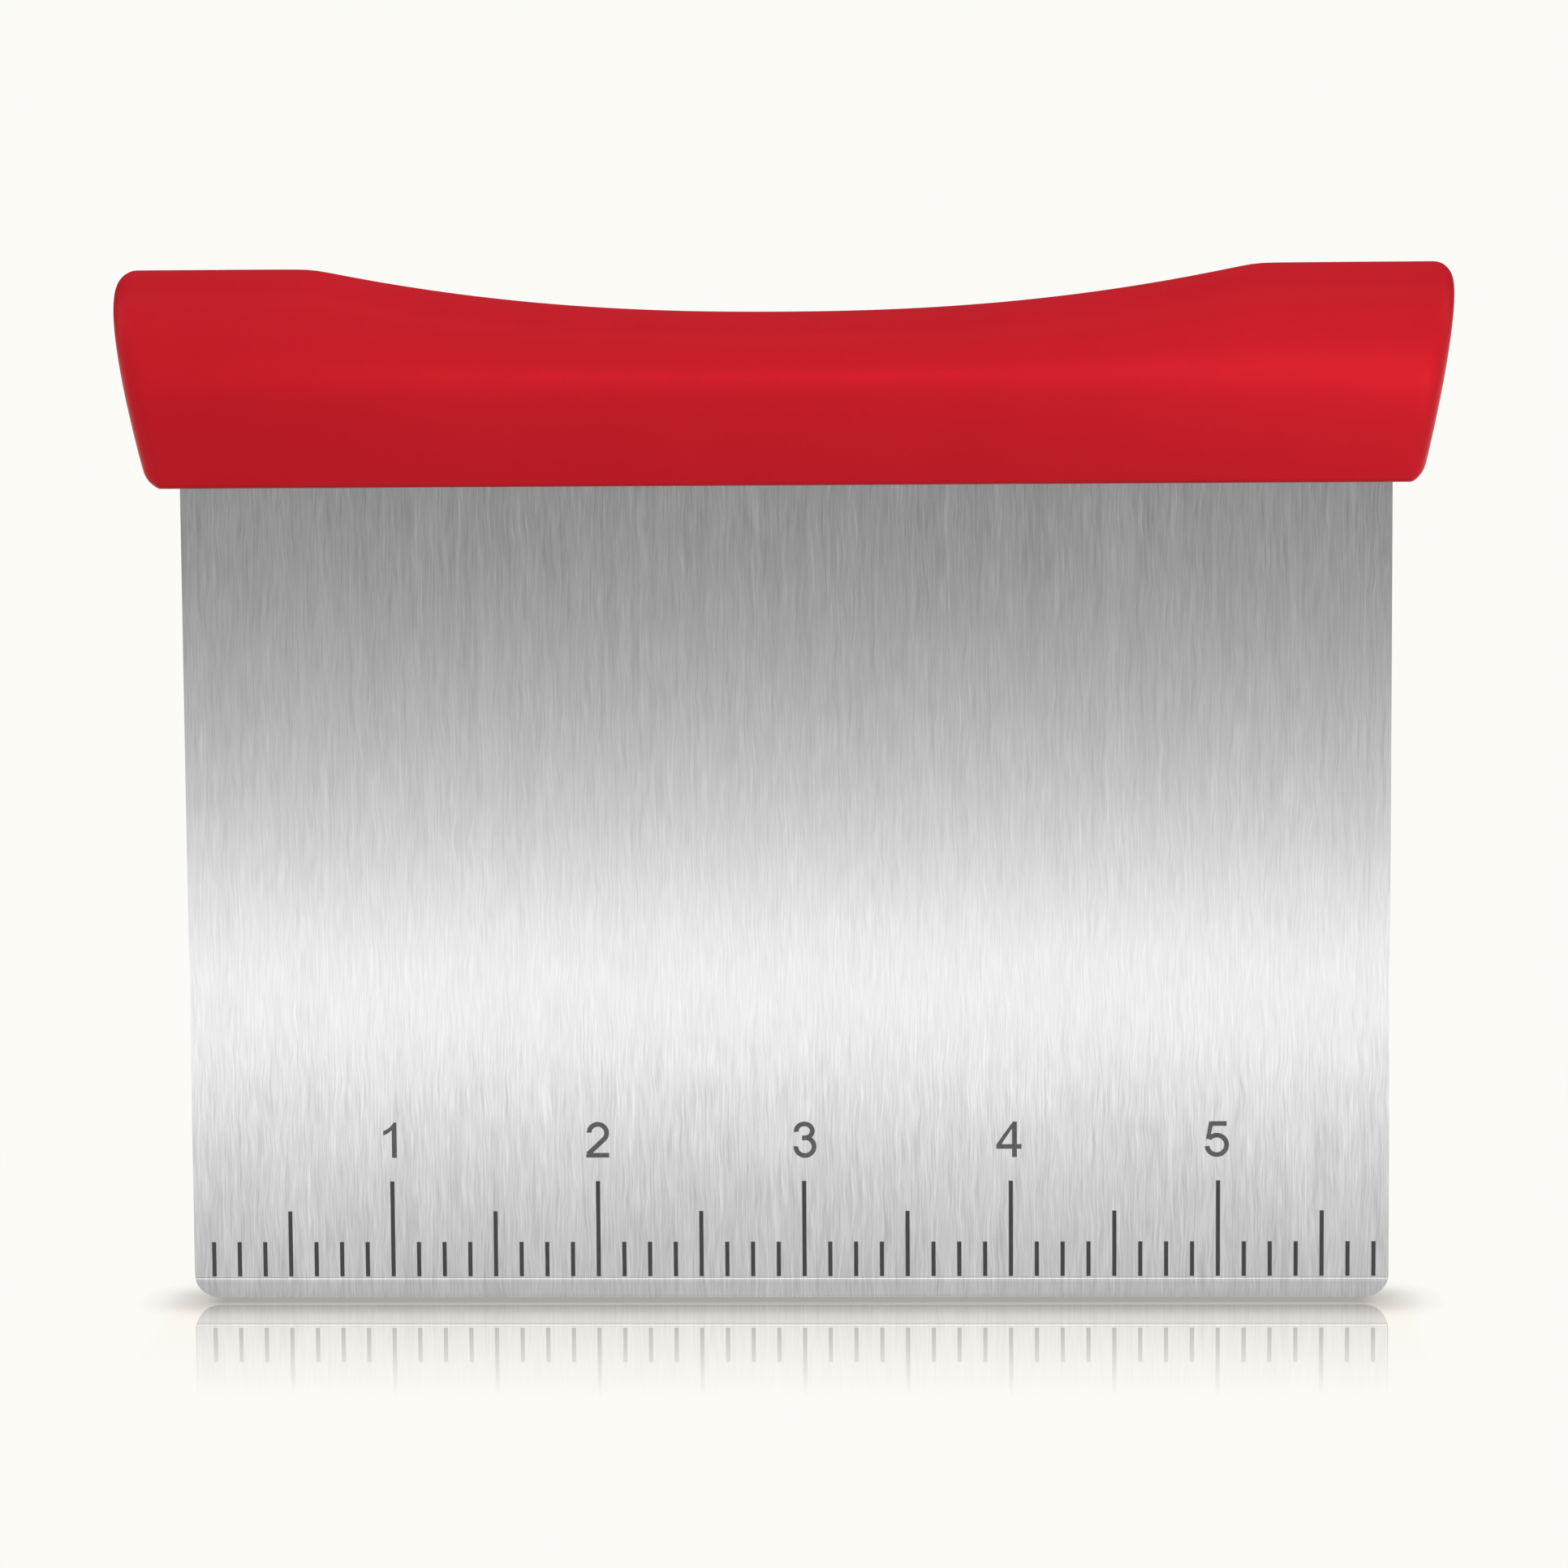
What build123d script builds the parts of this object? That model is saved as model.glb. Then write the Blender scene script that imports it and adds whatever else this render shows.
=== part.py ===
from build123d import *
import os
import math

# Bench scraper: a ground stainless blade with an inch ruler along its edge,
# held in a full-width two-piece core that is riveted through the tang and
# overmoulded with a soft grip.
#
# Frame: origin at the middle of the cutting edge, on the plane it stands on.
# +X runs to the right along the blade, +Z up towards the handle, and the face
# with the ruler looks along -Y.  Millimetres.

os.makedirs("parts", exist_ok=True)

# ---------------------------------------------------------------- dimensions
inch = 25.4

blade_width = 147.2
blade_thickness = 1.0
blade_exposed_top = 100.4        # where the blade goes into the grip
shoulder_z = 102.4               # top of the full-width part of the blade
tang_width = 141.4
tang_top_z = 115.4
tang_corner_r = 4.0
blade_corner_r = 3.0
edge_break = 0.12                # broken edge round the sheet

bevel_top_z = 2.60               # where the edge grind starts on the face
grind_valley_z, grind_valley_d = 2.52, 0.045
grind_lip_z, grind_lip_d = 2.36, 0.010
grind_roll_z, grind_roll_d = 2.05, 0.030
edge_land = 0.45                 # flat left at the edge, on the rear side

rivet_x = (-62.0, -22.5, 22.5, 62.0)
rivet_z = 109.6
rivet_shank_r = 2.0
rivet_head_r = 3.5
rivet_head_t = 1.2
rivet_seat_y = 6.5               # the heads bear here, front and rear
rivet_hole_core_r = 2.05
rivet_hole_blade_r = 2.10
counterbore_r = 3.8

grip_bottom_z = 100.4
grip_flat_top_z = 126.6
saddle_depth = 5.5
saddle_half_length = 57.0
saddle_power = 2.25
saddle_blend = 0.25              # softens the join of saddle and end flats
grip_bottom_half_t = 8.9
grip_widest_half_t = 11.7
grip_widest_h = 12.0             # height of the widest line above the bottom
grip_end_bottom_x = 76.52
grip_end_middle_x, grip_end_middle_z = 78.80, 112.5
grip_end_top_x = 81.30
grip_end_r = 3.2
grip_bottom_r = 2.4
crown_power_h, crown_power_t = 2.8, 2.1
grip_station_pitch = 4.0

core_half_length = 74.6
core_flat_top_z = 123.4
core_saddle_top_z = 118.0
core_saddle_half_length = 62.0
core_pocket_depth = 5.2          # cored-out pockets, from the parting face
core_wall = 2.0

mark_depth = 0.12                # engraved depth of the ruler
enamel_thickness = 0.10
tick_width = 0.52
tick_pitch = inch / 8
tick_count = 46
tick_base_z = 2.73
tick_top_z = {"eighth": 7.05, "half": 10.89, "inch": 14.63}
numeral_base_z = 17.56
numeral_h = 4.42
stroke = 0.59
numeral_nudge = (0, 0.24, 0.26, 0.18, 0.12, -0.12)   # each numeral sits slightly off its inch mark

half_t = blade_thickness / 2
ruler_zero_x = -(tick_count + 1) / 2 * tick_pitch + 0.3   # the ruler sits a hair towards its high end


def inch_x(n):
    return ruler_zero_x + n * inch


# -------------------------------------------------------------------- ruler
# The marks are drawn on the floor of the engraving and used twice: cut into
# the blade, and filled with enamel.
mark_plane = Plane(origin=(0, -half_t + mark_depth, 0), x_dir=(1, 0, 0), z_dir=(0, -1, 0))

with BuildSketch(mark_plane) as tick_marks:
    for k in range(1, tick_count + 1):
        if k % 8 == 0:
            top = tick_top_z["inch"]
        elif k % 4 == 0:
            top = tick_top_z["half"]
        else:
            top = tick_top_z["eighth"]
        with Locations((ruler_zero_x + k * tick_pitch, (tick_base_z + top) / 2)):
            Rectangle(tick_width, top - tick_base_z)

# numeral 1: stem with a flag
with BuildSketch(mark_plane) as numeral_1:
    x0, z0 = inch_x(1) + numeral_nudge[1], numeral_base_z
    with BuildLine():
        p = [(-0.23, 0), (0.37, 0), (0.37, numeral_h), (0.0, numeral_h)]
        Polyline(*[(x0 + a, z0 + b) for a, b in p])
        ThreePointArc((x0 + 0.0, z0 + numeral_h), (x0 - 0.55, z0 + 3.75), (x0 - 1.28, z0 + 3.35))
        Line((x0 - 1.28, z0 + 3.35), (x0 - 1.28, z0 + 2.79))
        ThreePointArc((x0 - 1.28, z0 + 2.79), (x0 - 0.69, z0 + 3.08), (x0 - 0.23, z0 + 3.45))
        Line((x0 - 0.23, z0 + 3.45), (x0 - 0.23, z0))
    make_face()

# numeral 2: bowl, diagonal and foot
with BuildSketch(mark_plane) as numeral_2:
    x0, z0 = inch_x(2) + numeral_nudge[2], numeral_base_z
    bowl_r, lean = 1.08, 46.9
    cx, cz = x0 - 0.21, z0 + 3.07
    ex = cx + bowl_r * math.cos(math.radians(lean))
    ez = cz - bowl_r * math.sin(math.radians(lean))
    run = (ez - (z0 + 0.42)) / math.cos(math.radians(lean))
    with BuildLine() as bowl_2:
        CenterArc((cx, cz), bowl_r, 178, -(178 + lean))
        Line((ex, ez), (ex - run * math.sin(math.radians(lean)), z0 + 0.42))
    trace(line_width=stroke + 0.01)
    with BuildLine():
        Polyline((x0 - 1.67, z0), (x0 + 1.17, z0), (x0 + 1.17, z0 + stroke), (x0 - 1.05, z0 + stroke),
                 (x0 - 1.36, z0 + 0.86), (x0 - 1.56, z0 + 0.58), (x0 - 1.66, z0 + 0.30), close=True)
    make_face()

# numeral 3: two bowls on a short bar
with BuildSketch(mark_plane) as numeral_3:
    x0, z0 = inch_x(3) + numeral_nudge[3], numeral_base_z
    with BuildLine():
        EllipticalCenterArc((x0 - 0.11, z0 + 3.285), 0.985, 0.870, start_angle=-90, arc_size=278)
        Line((x0 - 0.11, z0 + 2.415), (x0 - 0.40, z0 + 2.415))
    trace(line_width=stroke)
    with BuildLine():
        CenterArc((x0 - 0.045, z0 + 1.340), 1.115, 90, -272)
    trace(line_width=stroke)

# numeral 4: stem, bar and diagonal
with BuildSketch(mark_plane) as numeral_4:
    x0, z0 = inch_x(4) + numeral_nudge[4], numeral_base_z
    with BuildLine():
        p = [(0.64, 0), (0.64, 1.03), (1.21, 1.03), (1.21, 1.61), (0.64, 1.61), (0.64, numeral_h),
             (0.16, numeral_h), (-1.88, 1.58), (-1.88, 1.03), (0.04, 1.03), (0.04, 0)]
        Polyline(*[(x0 + a, z0 + b) for a, b in p], close=True)
    make_face()
    with BuildLine():
        p = [(0.04, 1.61), (0.04, 3.54), (-1.25, 1.61)]
        Polyline(*[(x0 + a, z0 + b) for a, b in p], close=True)
    make_face(mode=Mode.SUBTRACT)

# numeral 5: bar, leaning stem and belly
with BuildSketch(mark_plane) as numeral_5:
    x0, z0 = inch_x(5) + numeral_nudge[5], numeral_base_z
    with BuildLine():
        p = [(-0.97, numeral_h), (1.17, numeral_h), (1.17, numeral_h - stroke), (-0.53, numeral_h - stroke),
             (-0.79, 2.70), (-0.79, 2.20), (-1.37, 2.20)]
        Polyline(*[(x0 + a, z0 + b) for a, b in p], close=True)
    make_face()
    with BuildLine():
        CenterArc((x0 - 0.04, z0 + 1.48), 1.205, 187, 316)
    trace(line_width=stroke)

numeral_sketches = [numeral_1, numeral_2, numeral_3, numeral_4, numeral_5]

# -------------------------------------------------------------------- blade
with BuildPart() as blade:
    # sheet outline: full width up to the shoulders, then the tang
    with BuildSketch(Plane.XZ) as outline:
        with BuildLine():
            w, t = blade_width / 2, tang_width / 2
            Polyline((-w, 0), (w, 0), (w, shoulder_z), (t, shoulder_z), (t, tang_top_z),
                     (-t, tang_top_z), (-t, shoulder_z), (-w, shoulder_z), close=True)
        make_face()
        fillet(outline.vertices().group_by(Axis.Y)[0], radius=blade_corner_r)
        fillet(outline.vertices().group_by(Axis.Y)[-1], radius=tang_corner_r)
    extrude(amount=half_t, both=True)
    # broken edge round the visible outline, front and rear
    rim = [e for e in blade.edges()
           if abs(abs(e.center().Y) - half_t) < 1e-6 and e.center().Z < shoulder_z - 0.5]
    chamfer(rim, length=edge_break)
    # ground edge: one bevel on the face, with a small lip where the grind ends
    with BuildSketch(Plane.YZ.offset(-blade_width / 2 - 1)) as grind:
        with BuildLine():
            Polyline((-half_t - 1, bevel_top_z), (-half_t, bevel_top_z),
                     (-half_t + grind_valley_d, grind_valley_z),
                     (-half_t + grind_lip_d, grind_lip_z),
                     (-half_t + grind_roll_d, grind_roll_z),
                     (half_t - edge_land, 0), (half_t - edge_land, -1),
                     (-half_t - 1, -1), close=True)
        make_face()
    extrude(amount=blade_width + 2, mode=Mode.SUBTRACT)
    # rivet holes in the tang
    with BuildSketch(Plane.XZ) as tang_holes:
        with Locations(*[(x, rivet_z) for x in rivet_x]):
            Circle(rivet_hole_blade_r)
    extrude(amount=2 * half_t, both=True, mode=Mode.SUBTRACT)
    # engraved ruler
    extrude(tick_marks.sketch, amount=mark_depth + 0.2, mode=Mode.SUBTRACT)
    for numeral in numeral_sketches:
        extrude(numeral.sketch, amount=mark_depth + 0.2, mode=Mode.SUBTRACT)

with BuildPart() as ruler_graduations:
    extrude(tick_marks.sketch, amount=enamel_thickness)

with BuildPart() as ruler_numerals:
    for numeral in numeral_sketches:
        extrude(numeral.sketch, amount=enamel_thickness)

# --------------------------------------------------------------------- core
# The two halves share one envelope, split at the middle plane.
def core_profile():
    """Half section of the core, (half thickness, z), from the bottom up."""
    return [(6.6, shoulder_z), (8.4, 105.6), (8.6, 111.6), (6.0, 118.0), (4.2, core_flat_top_z)]


with BuildPart() as core_envelope:
    with BuildSketch(Plane.YZ) as section:
        with BuildLine():
            side = core_profile()
            Polyline(*[(-a, b) for a, b in side], *[(a, b) for a, b in reversed(side)], close=True)
        make_face()
        fillet(section.vertices().group_by(Axis.Y)[1:4], radius=1.5)
    extrude(amount=core_half_length, both=True)
    # the top follows the saddle of the grip
    with BuildSketch(Plane.XZ) as saddle_cut:
        with BuildLine():
            a = s = core_saddle_half_length
            ThreePointArc((-s, core_flat_top_z), (0, core_saddle_top_z), (s, core_flat_top_z))
            Polyline((s, core_flat_top_z), (s, core_flat_top_z + 3),
                     (-s, core_flat_top_z + 3), (-s, core_flat_top_z))
        make_face()
    extrude(amount=20, both=True, mode=Mode.SUBTRACT)
    # rounded upright corners
    ends = core_envelope.faces().filter_by(Axis.X)
    fillet([e for f in ends for e in f.edges() if e.center().Z > shoulder_z + 0.1
            and e.center().Z < 117.5 and abs(e.center().Y) > 2], radius=1.2)

# counterbores that take the rivet heads
with BuildPart() as core_solid:
    add(core_envelope.part)
    for side_y, direction in ((-rivet_seat_y, -1), (rivet_seat_y, 1)):
        with BuildSketch(Plane(origin=(0, side_y, 0), x_dir=(1, 0, 0), z_dir=(0, -1, 0))) as cb:
            with Locations(*[(x, rivet_z) for x in rivet_x]):
                Circle(counterbore_r)
        extrude(amount=-8 * direction, mode=Mode.SUBTRACT)

# cored-out pockets on the parting face, between the rivet bosses; each clears
# the outside by the wall thickness
boss_r = 5.0
pocket_spans = []
stops = [-tang_width / 2 + 1.5] + [v for x in rivet_x for v in (x - boss_r, x + boss_r)] + [tang_width / 2 - 1.5]
for a, b in zip(stops[0::2], stops[1::2]):
    n = max(1, round((b - a) / 14.0))
    step = (b - a + core_wall) / n
    for i in range(n):
        lo = a + i * step
        pocket_spans.append((lo, lo + step - core_wall))
pocket_spans = [s for s in pocket_spans if s[1] - s[0] > 1.5]

core_halves = {}
for half_name, sign in (("core_front", -1), ("core_rear", 1)):
    with BuildPart() as half:
        add(core_solid.part)
        # keep one side of the parting plane
        split(bisect_by=Plane(origin=(0, 0, 0), x_dir=(1, 0, 0), z_dir=(0, sign, 0)), keep=Keep.TOP)
        # recess for half the thickness of the tang
        with BuildSketch(Plane.XZ) as tang_recess:
            with BuildLine():
                t = tang_width / 2
                Polyline((-t, shoulder_z - 1), (t, shoulder_z - 1), (t, tang_top_z), (-t, tang_top_z), close=True)
            make_face()
            fillet(tang_recess.vertices().group_by(Axis.Y)[-1], radius=tang_corner_r)
        extrude(amount=half_t, both=True, mode=Mode.SUBTRACT)
        # pockets
        with BuildSketch(Plane(origin=(0, 0, 0), x_dir=(1, 0, 0), z_dir=(0, sign, 0))) as pockets:
            for lo, hi in pocket_spans:
                z_lo, z_hi = shoulder_z + 2.4, tang_top_z - 2.0
                with Locations(((lo + hi) / 2, sign * -1 * (z_lo + z_hi) / 2)):
                    RectangleRounded(hi - lo, z_hi - z_lo, min(0.9, (hi - lo) / 2 - 0.05))
        extrude(amount=core_pocket_depth, mode=Mode.SUBTRACT)
        # rivet holes
        with BuildSketch(Plane.XZ) as holes:
            with Locations(*[(x, rivet_z) for x in rivet_x]):
                Circle(rivet_hole_core_r)
        extrude(amount=12, both=True, mode=Mode.SUBTRACT)
    core_halves[half_name] = half

# ------------------------------------------------------------------- rivets
with BuildPart() as tang_rivets:
    for x in rivet_x:
        rivet_axis = Plane(origin=(x, 0, rivet_z), x_dir=(1, 0, 0), z_dir=(0, -1, 0))
        with BuildSketch(rivet_axis) as shank:
            Circle(rivet_shank_r)
        extrude(amount=rivet_seat_y, both=True)
        # manufactured head in front, rolled head with a dimple at the rear
        with BuildSketch(rivet_axis.offset(rivet_seat_y)) as head:
            Circle(rivet_head_r)
        extrude(amount=rivet_head_t)
        with BuildSketch(rivet_axis.offset(-rivet_seat_y)) as rolled:
            Circle(rivet_head_r)
        extrude(amount=-rivet_head_t)
    rims = [e for e in tang_rivets.edges() if abs(abs(e.center().Y) - rivet_seat_y - rivet_head_t) < 1e-6]
    fillet(rims, radius=0.5)
    for x in rivet_x:
        with BuildSketch(Plane(origin=(x, rivet_seat_y + rivet_head_t, rivet_z), x_dir=(1, 0, 0), z_dir=(0, -1, 0))):
            Circle(1.2)
        extrude(amount=1.0, mode=Mode.SUBTRACT)

# --------------------------------------------------------------------- grip
def saddle(x):
    """Drop of the top line below the end flats, at x."""
    r = saddle_depth * (1 - (abs(x) / saddle_half_length) ** saddle_power)
    return 0.5 * (r + math.sqrt(r * r + saddle_blend ** 2))


def half_thickness(h, top):
    """Half thickness of the grip at height h above its bottom."""
    if h <= grip_widest_h:
        s = h / grip_widest_h
        return grip_bottom_half_t + (grip_widest_half_t - grip_bottom_half_t) * (1.25 * s - 0.25 * s * s)
    u = min(1.0, (h - grip_widest_h) / (top - grip_widest_h))
    return grip_widest_half_t * (1 - u ** crown_power_h) ** (1 / crown_power_t)


def section_points(x):
    top = grip_flat_top_z - saddle(x) - grip_bottom_z
    side = [(half_thickness(h, top), h) for h in (0, 3, 6, 9, 11, 12)]
    for u in (0.12, 0.25, 0.40, 0.55, 0.68, 0.79, 0.88, 0.945, 0.982):
        h = grip_widest_h + u * (top - grip_widest_h)
        side.append((half_thickness(h, top), h))
    return side, top


grip_stations = [grip_station_pitch * i for i in range(-21, 22)]

with BuildPart() as grip:
    # sections across the handle, lofted along it
    for x in grip_stations:
        with BuildSketch(Plane(origin=(x, 0, grip_bottom_z), x_dir=(0, 1, 0), z_dir=(1, 0, 0))):
            side, top = section_points(x)
            with BuildLine():
                Spline(*[(-a, b) for a, b in side], (0, top), *[(a, b) for a, b in reversed(side)])
                Line((grip_bottom_half_t, 0), (-grip_bottom_half_t, 0))
            make_face()
    loft()
    # slanted, gently bowed ends
    with BuildSketch(Plane.XZ) as front_view:
        with BuildLine():
            ThreePointArc((grip_end_bottom_x, grip_bottom_z), (grip_end_middle_x, grip_end_middle_z),
                          (grip_end_top_x, grip_flat_top_z + 1))
            Line((grip_end_top_x, grip_flat_top_z + 1), (-grip_end_top_x, grip_flat_top_z + 1))
            ThreePointArc((-grip_end_top_x, grip_flat_top_z + 1), (-grip_end_middle_x, grip_end_middle_z),
                          (-grip_end_bottom_x, grip_bottom_z))
            Line((-grip_end_bottom_x, grip_bottom_z), (grip_end_bottom_x, grip_bottom_z))
        make_face()
    extrude(amount=20, both=True, mode=Mode.INTERSECT)
    end_edges = [e for e in grip.edges() if abs(e.center().X) > 74 and e.center().Z > grip_bottom_z + 1]
    fillet(end_edges, radius=grip_end_r)
    bottom_edges = [e for e in grip.edges() if abs(e.center().Z - grip_bottom_z) < 1e-3]
    fillet(bottom_edges, radius=grip_bottom_r)
    print("grip outer:", grip.part.bounding_box(), "valid", grip.part.is_valid)
    # room for the core, the rivets and the blade
    add(core_solid.part, mode=Mode.SUBTRACT)
    add(tang_rivets.part, mode=Mode.SUBTRACT)
    with BuildSketch(Plane.XZ) as blade_slot:
        with Locations((0, (grip_bottom_z + shoulder_z) / 2)):
            Rectangle(blade_width, shoulder_z - grip_bottom_z)
    extrude(amount=half_t, both=True, mode=Mode.SUBTRACT)

# ------------------------------------------------------------------- output
for node_name, node in (("blade", blade), ("core_front", core_halves["core_front"]),
                        ("core_rear", core_halves["core_rear"]), ("tang_rivets", tang_rivets),
                        ("grip", grip), ("ruler_graduations", ruler_graduations),
                        ("ruler_numerals", ruler_numerals)):
    node.part.label = node_name
    print(node_name, "solids", len(node.part.solids()), "volume", round(node.part.volume, 2),
          "valid", node.part.is_valid)
    export_step(node.part, f"parts/{node_name}.step")
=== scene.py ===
import math

import bmesh
import bpy
import numpy as np
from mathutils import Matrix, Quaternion, Vector


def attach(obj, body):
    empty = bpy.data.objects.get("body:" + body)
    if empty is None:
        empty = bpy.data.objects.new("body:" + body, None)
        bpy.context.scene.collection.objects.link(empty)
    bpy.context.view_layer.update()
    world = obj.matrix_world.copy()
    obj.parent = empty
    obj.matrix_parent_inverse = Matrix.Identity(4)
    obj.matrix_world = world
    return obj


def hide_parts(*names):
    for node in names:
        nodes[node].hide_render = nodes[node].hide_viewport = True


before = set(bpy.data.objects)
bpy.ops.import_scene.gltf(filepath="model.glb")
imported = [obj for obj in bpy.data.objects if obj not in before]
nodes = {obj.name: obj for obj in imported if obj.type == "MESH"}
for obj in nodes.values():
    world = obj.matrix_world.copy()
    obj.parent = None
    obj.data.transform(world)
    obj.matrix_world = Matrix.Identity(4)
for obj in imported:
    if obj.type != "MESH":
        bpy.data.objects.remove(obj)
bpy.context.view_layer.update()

MM = 0.001
scene = bpy.context.scene
scene.view_settings.view_transform = "Standard"
scene.view_settings.look = "None"

# --------------------------------------------------------------- small tools


class Graph:
    """A short way to write a node tree: g.add(type, inputs..., settings...) returns the node."""

    def __init__(self, tree):
        self.tree = tree
        tree.nodes.clear()

    def add(self, kind, ins=None, **settings):
        node = self.tree.nodes.new(kind)
        for key, value in settings.items():
            setattr(node, key, value)
        for key, value in (ins or {}).items():
            self.put(node, key, value)
        return node

    def put(self, node, key, value):
        socket = node.inputs[key]
        if isinstance(value, bpy.types.NodeSocket):
            self.tree.links.new(value, socket)
        elif isinstance(value, bpy.types.Node):
            self.tree.links.new(value.outputs[0], socket)
        else:
            socket.default_value = value

    def math(self, operation, a, b=0.0, c=0.0, clamp=False):
        n = self.tree.nodes.new("ShaderNodeMath")
        n.operation = operation
        n.use_clamp = clamp
        self.put(n, 0, a)
        self.put(n, 1, b)
        self.put(n, 2, c)
        return n.outputs[0]

    def remap(self, value, lo, hi, to_lo=0.0, to_hi=1.0, smooth=False):
        n = self.tree.nodes.new("ShaderNodeMapRange")
        n.interpolation_type = "SMOOTHSTEP" if smooth else "LINEAR"
        n.clamp = True
        self.put(n, 0, value)
        for i, v in enumerate((lo, hi, to_lo, to_hi)):
            self.put(n, i + 1, v)
        return n.outputs[0]

    def ramp(self, value, stops, interpolation="LINEAR"):
        """stops: (position, number or colour)."""
        n = self.tree.nodes.new("ShaderNodeValToRGB")
        n.color_ramp.interpolation = interpolation
        els = n.color_ramp.elements
        while len(els) < len(stops):
            els.new(0.5)
        for el, (pos, val) in zip(els, stops):
            el.position = pos
            el.color = (val, val, val, 1.0) if isinstance(val, (int, float)) else (*val, 1.0)
        self.put(n, 0, value)
        return n.outputs[0]

    def mix(self, factor, a, b, blend="MIX"):
        n = self.tree.nodes.new("ShaderNodeMix")
        n.data_type = "RGBA"
        n.blend_type = blend
        self.put(n, 0, factor)
        self.put(n, 6, a)
        self.put(n, 7, b)
        return n.outputs[2]

    def mixf(self, factor, a, b):
        n = self.tree.nodes.new("ShaderNodeMix")
        n.data_type = "FLOAT"
        self.put(n, 0, factor)
        self.put(n, 2, a)
        self.put(n, 3, b)
        return n.outputs[0]

    def coords(self, scale=(1, 1, 1), shift=(0, 0, 0)):
        """Object coordinates, in metres, scaled."""
        tc = self.add("ShaderNodeTexCoord")
        m = self.add("ShaderNodeMapping", {"Vector": tc.outputs["Object"], "Scale": scale, "Location": shift})
        return m.outputs[0]

    def noise(self, vector, scale=1.0, detail=2.0, roughness=0.5, distortion=0.0):
        n = self.add("ShaderNodeTexNoise", {"Vector": vector, "Scale": scale, "Detail": detail,
                                            "Roughness": roughness, "Distortion": distortion})
        return n.outputs["Fac"]


def material(name):
    m = bpy.data.materials.new(name)
    m.use_nodes = True
    g = Graph(m.node_tree)
    out = g.add("ShaderNodeOutputMaterial")
    shader = g.add("ShaderNodeBsdfPrincipled")
    g.put(out, "Surface", shader.outputs[0])
    return m, g, shader


def wear(obj, mat):
    obj.data.materials.clear()
    obj.data.materials.append(mat)


def shade_by_angle(obj, degrees):
    mesh = obj.data
    mesh.polygons.foreach_set("use_smooth", [True] * len(mesh.polygons))
    if mesh.has_custom_normals:
        return
    mesh.set_sharp_from_angle(angle=math.radians(degrees))


# -------------------------------------------------------------------- camera
# 610 mm away, 19 mm right of the middle and level with the handle, long lens.
cam_data = bpy.data.cameras.new("camera")
cam_data.lens = 112.985
cam_data.sensor_width = 36.0
cam_data.clip_start = 0.01
cam = bpy.data.objects.new("camera", cam_data)
scene.collection.objects.link(cam)
cam.location = (0.0188164, -0.5977, 0.1236811)
yaw, pitch, roll = (math.radians(a) for a in (-1.8278, -5.7323, -0.4010))
ahead = Vector((math.sin(yaw) * math.cos(pitch), math.cos(yaw) * math.cos(pitch), math.sin(pitch)))
cam.rotation_euler = (ahead.to_track_quat("-Z", "Y") @ Quaternion((0, 0, 1), roll)).to_euler()
scene.camera = cam

# --------------------------------------------------------------------- world
# A white studio. What the steel mirrors below the horizon is a soft vertical
# gradient; behind the object the room is dimmer above the horizon.
BACKDROP = (0.973, 0.965, 0.930)
world = bpy.data.worlds.new("studio")
scene.world = world
world.use_nodes = True
w = Graph(world.node_tree)
tc = w.add("ShaderNodeTexCoord")
sep = w.add("ShaderNodeSeparateXYZ", {"Vector": tc.outputs["Generated"]})
elev = w.math("MULTIPLY", w.math("ARCSINE", sep.outputs["Z"]), 180 / math.pi)

COARSE = [(-90, 0.30), (-60, 0.34), (-51, 0.42), (-47.5, 0.73), (-37, 0.74), (-33, 0.52), (-25, 0.55), (-21, 0.84),
          (-17, 0.80), (-14, 0.76), (-11, 0.76), (0, 0.45), (5, 0.60), (10, 0.82), (12.5, 0.86), (13.1, 1.7),
          (15, 1.7), (17, 1.1), (20, 0.85), (30, 0.80), (33, 1.55), (40, 1.55), (44, 0.60), (60, 0.50), (90, 0.50)]
coarse = w.ramp(w.remap(elev, -90, 90), [((e + 90) / 180, v / 2) for e, v in COARSE])
FINE = [(-13.0, 0.78), (-11.8, 0.72), (-11.33, 0.71), (-10.87, 0.80), (-10.40, 0.885), (-9.93, 0.99), (-9.45, 1.155),
        (-8.98, 1.34), (-8.51, 1.52), (-8.04, 1.68), (-7.57, 1.50), (-7.10, 1.21), (-6.62, 1.02), (-6.15, 0.89),
        (-5.68, 0.79), (-5.20, 0.695), (-4.73, 0.62), (-4.26, 0.555), (-3.79, 0.505), (-3.32, 0.445), (-2.85, 0.40),
        (-2.37, 0.38), (-1.0, 0.36), (0.5, 0.40), (2.0, 0.50)]
fine = w.ramp(w.remap(elev, -13, 2), [((e + 13) / 15, v / 2) for e, v in FINE])
inside = w.math("MULTIPLY", w.remap(elev, -13, -12.0, smooth=True), w.remap(elev, 0.5, 2, 1, 0, smooth=True))
room = w.math("MULTIPLY", w.mixf(inside, coarse, fine), 2.0)
behind = w.math("MULTIPLY", w.remap(sep.outputs["Y"], -0.10, 0.20, smooth=True), w.remap(elev, -2, 8, smooth=True))
room = w.mixf(behind, room, 0.03)
room_colour = w.add("ShaderNodeCombineColor", {"Red": room, "Green": room, "Blue": room})
path = w.add("ShaderNodeLightPath")
straight = w.math("MAXIMUM", path.outputs["Is Camera Ray"], path.outputs["Is Singular Ray"])
seen = w.mix(straight, room_colour.outputs[0], (*BACKDROP, 1.0))
bg = w.add("ShaderNodeBackground", {"Color": seen, "Strength": 1.0})
w.put(w.add("ShaderNodeOutputWorld"), "Surface", bg.outputs[0])

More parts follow.
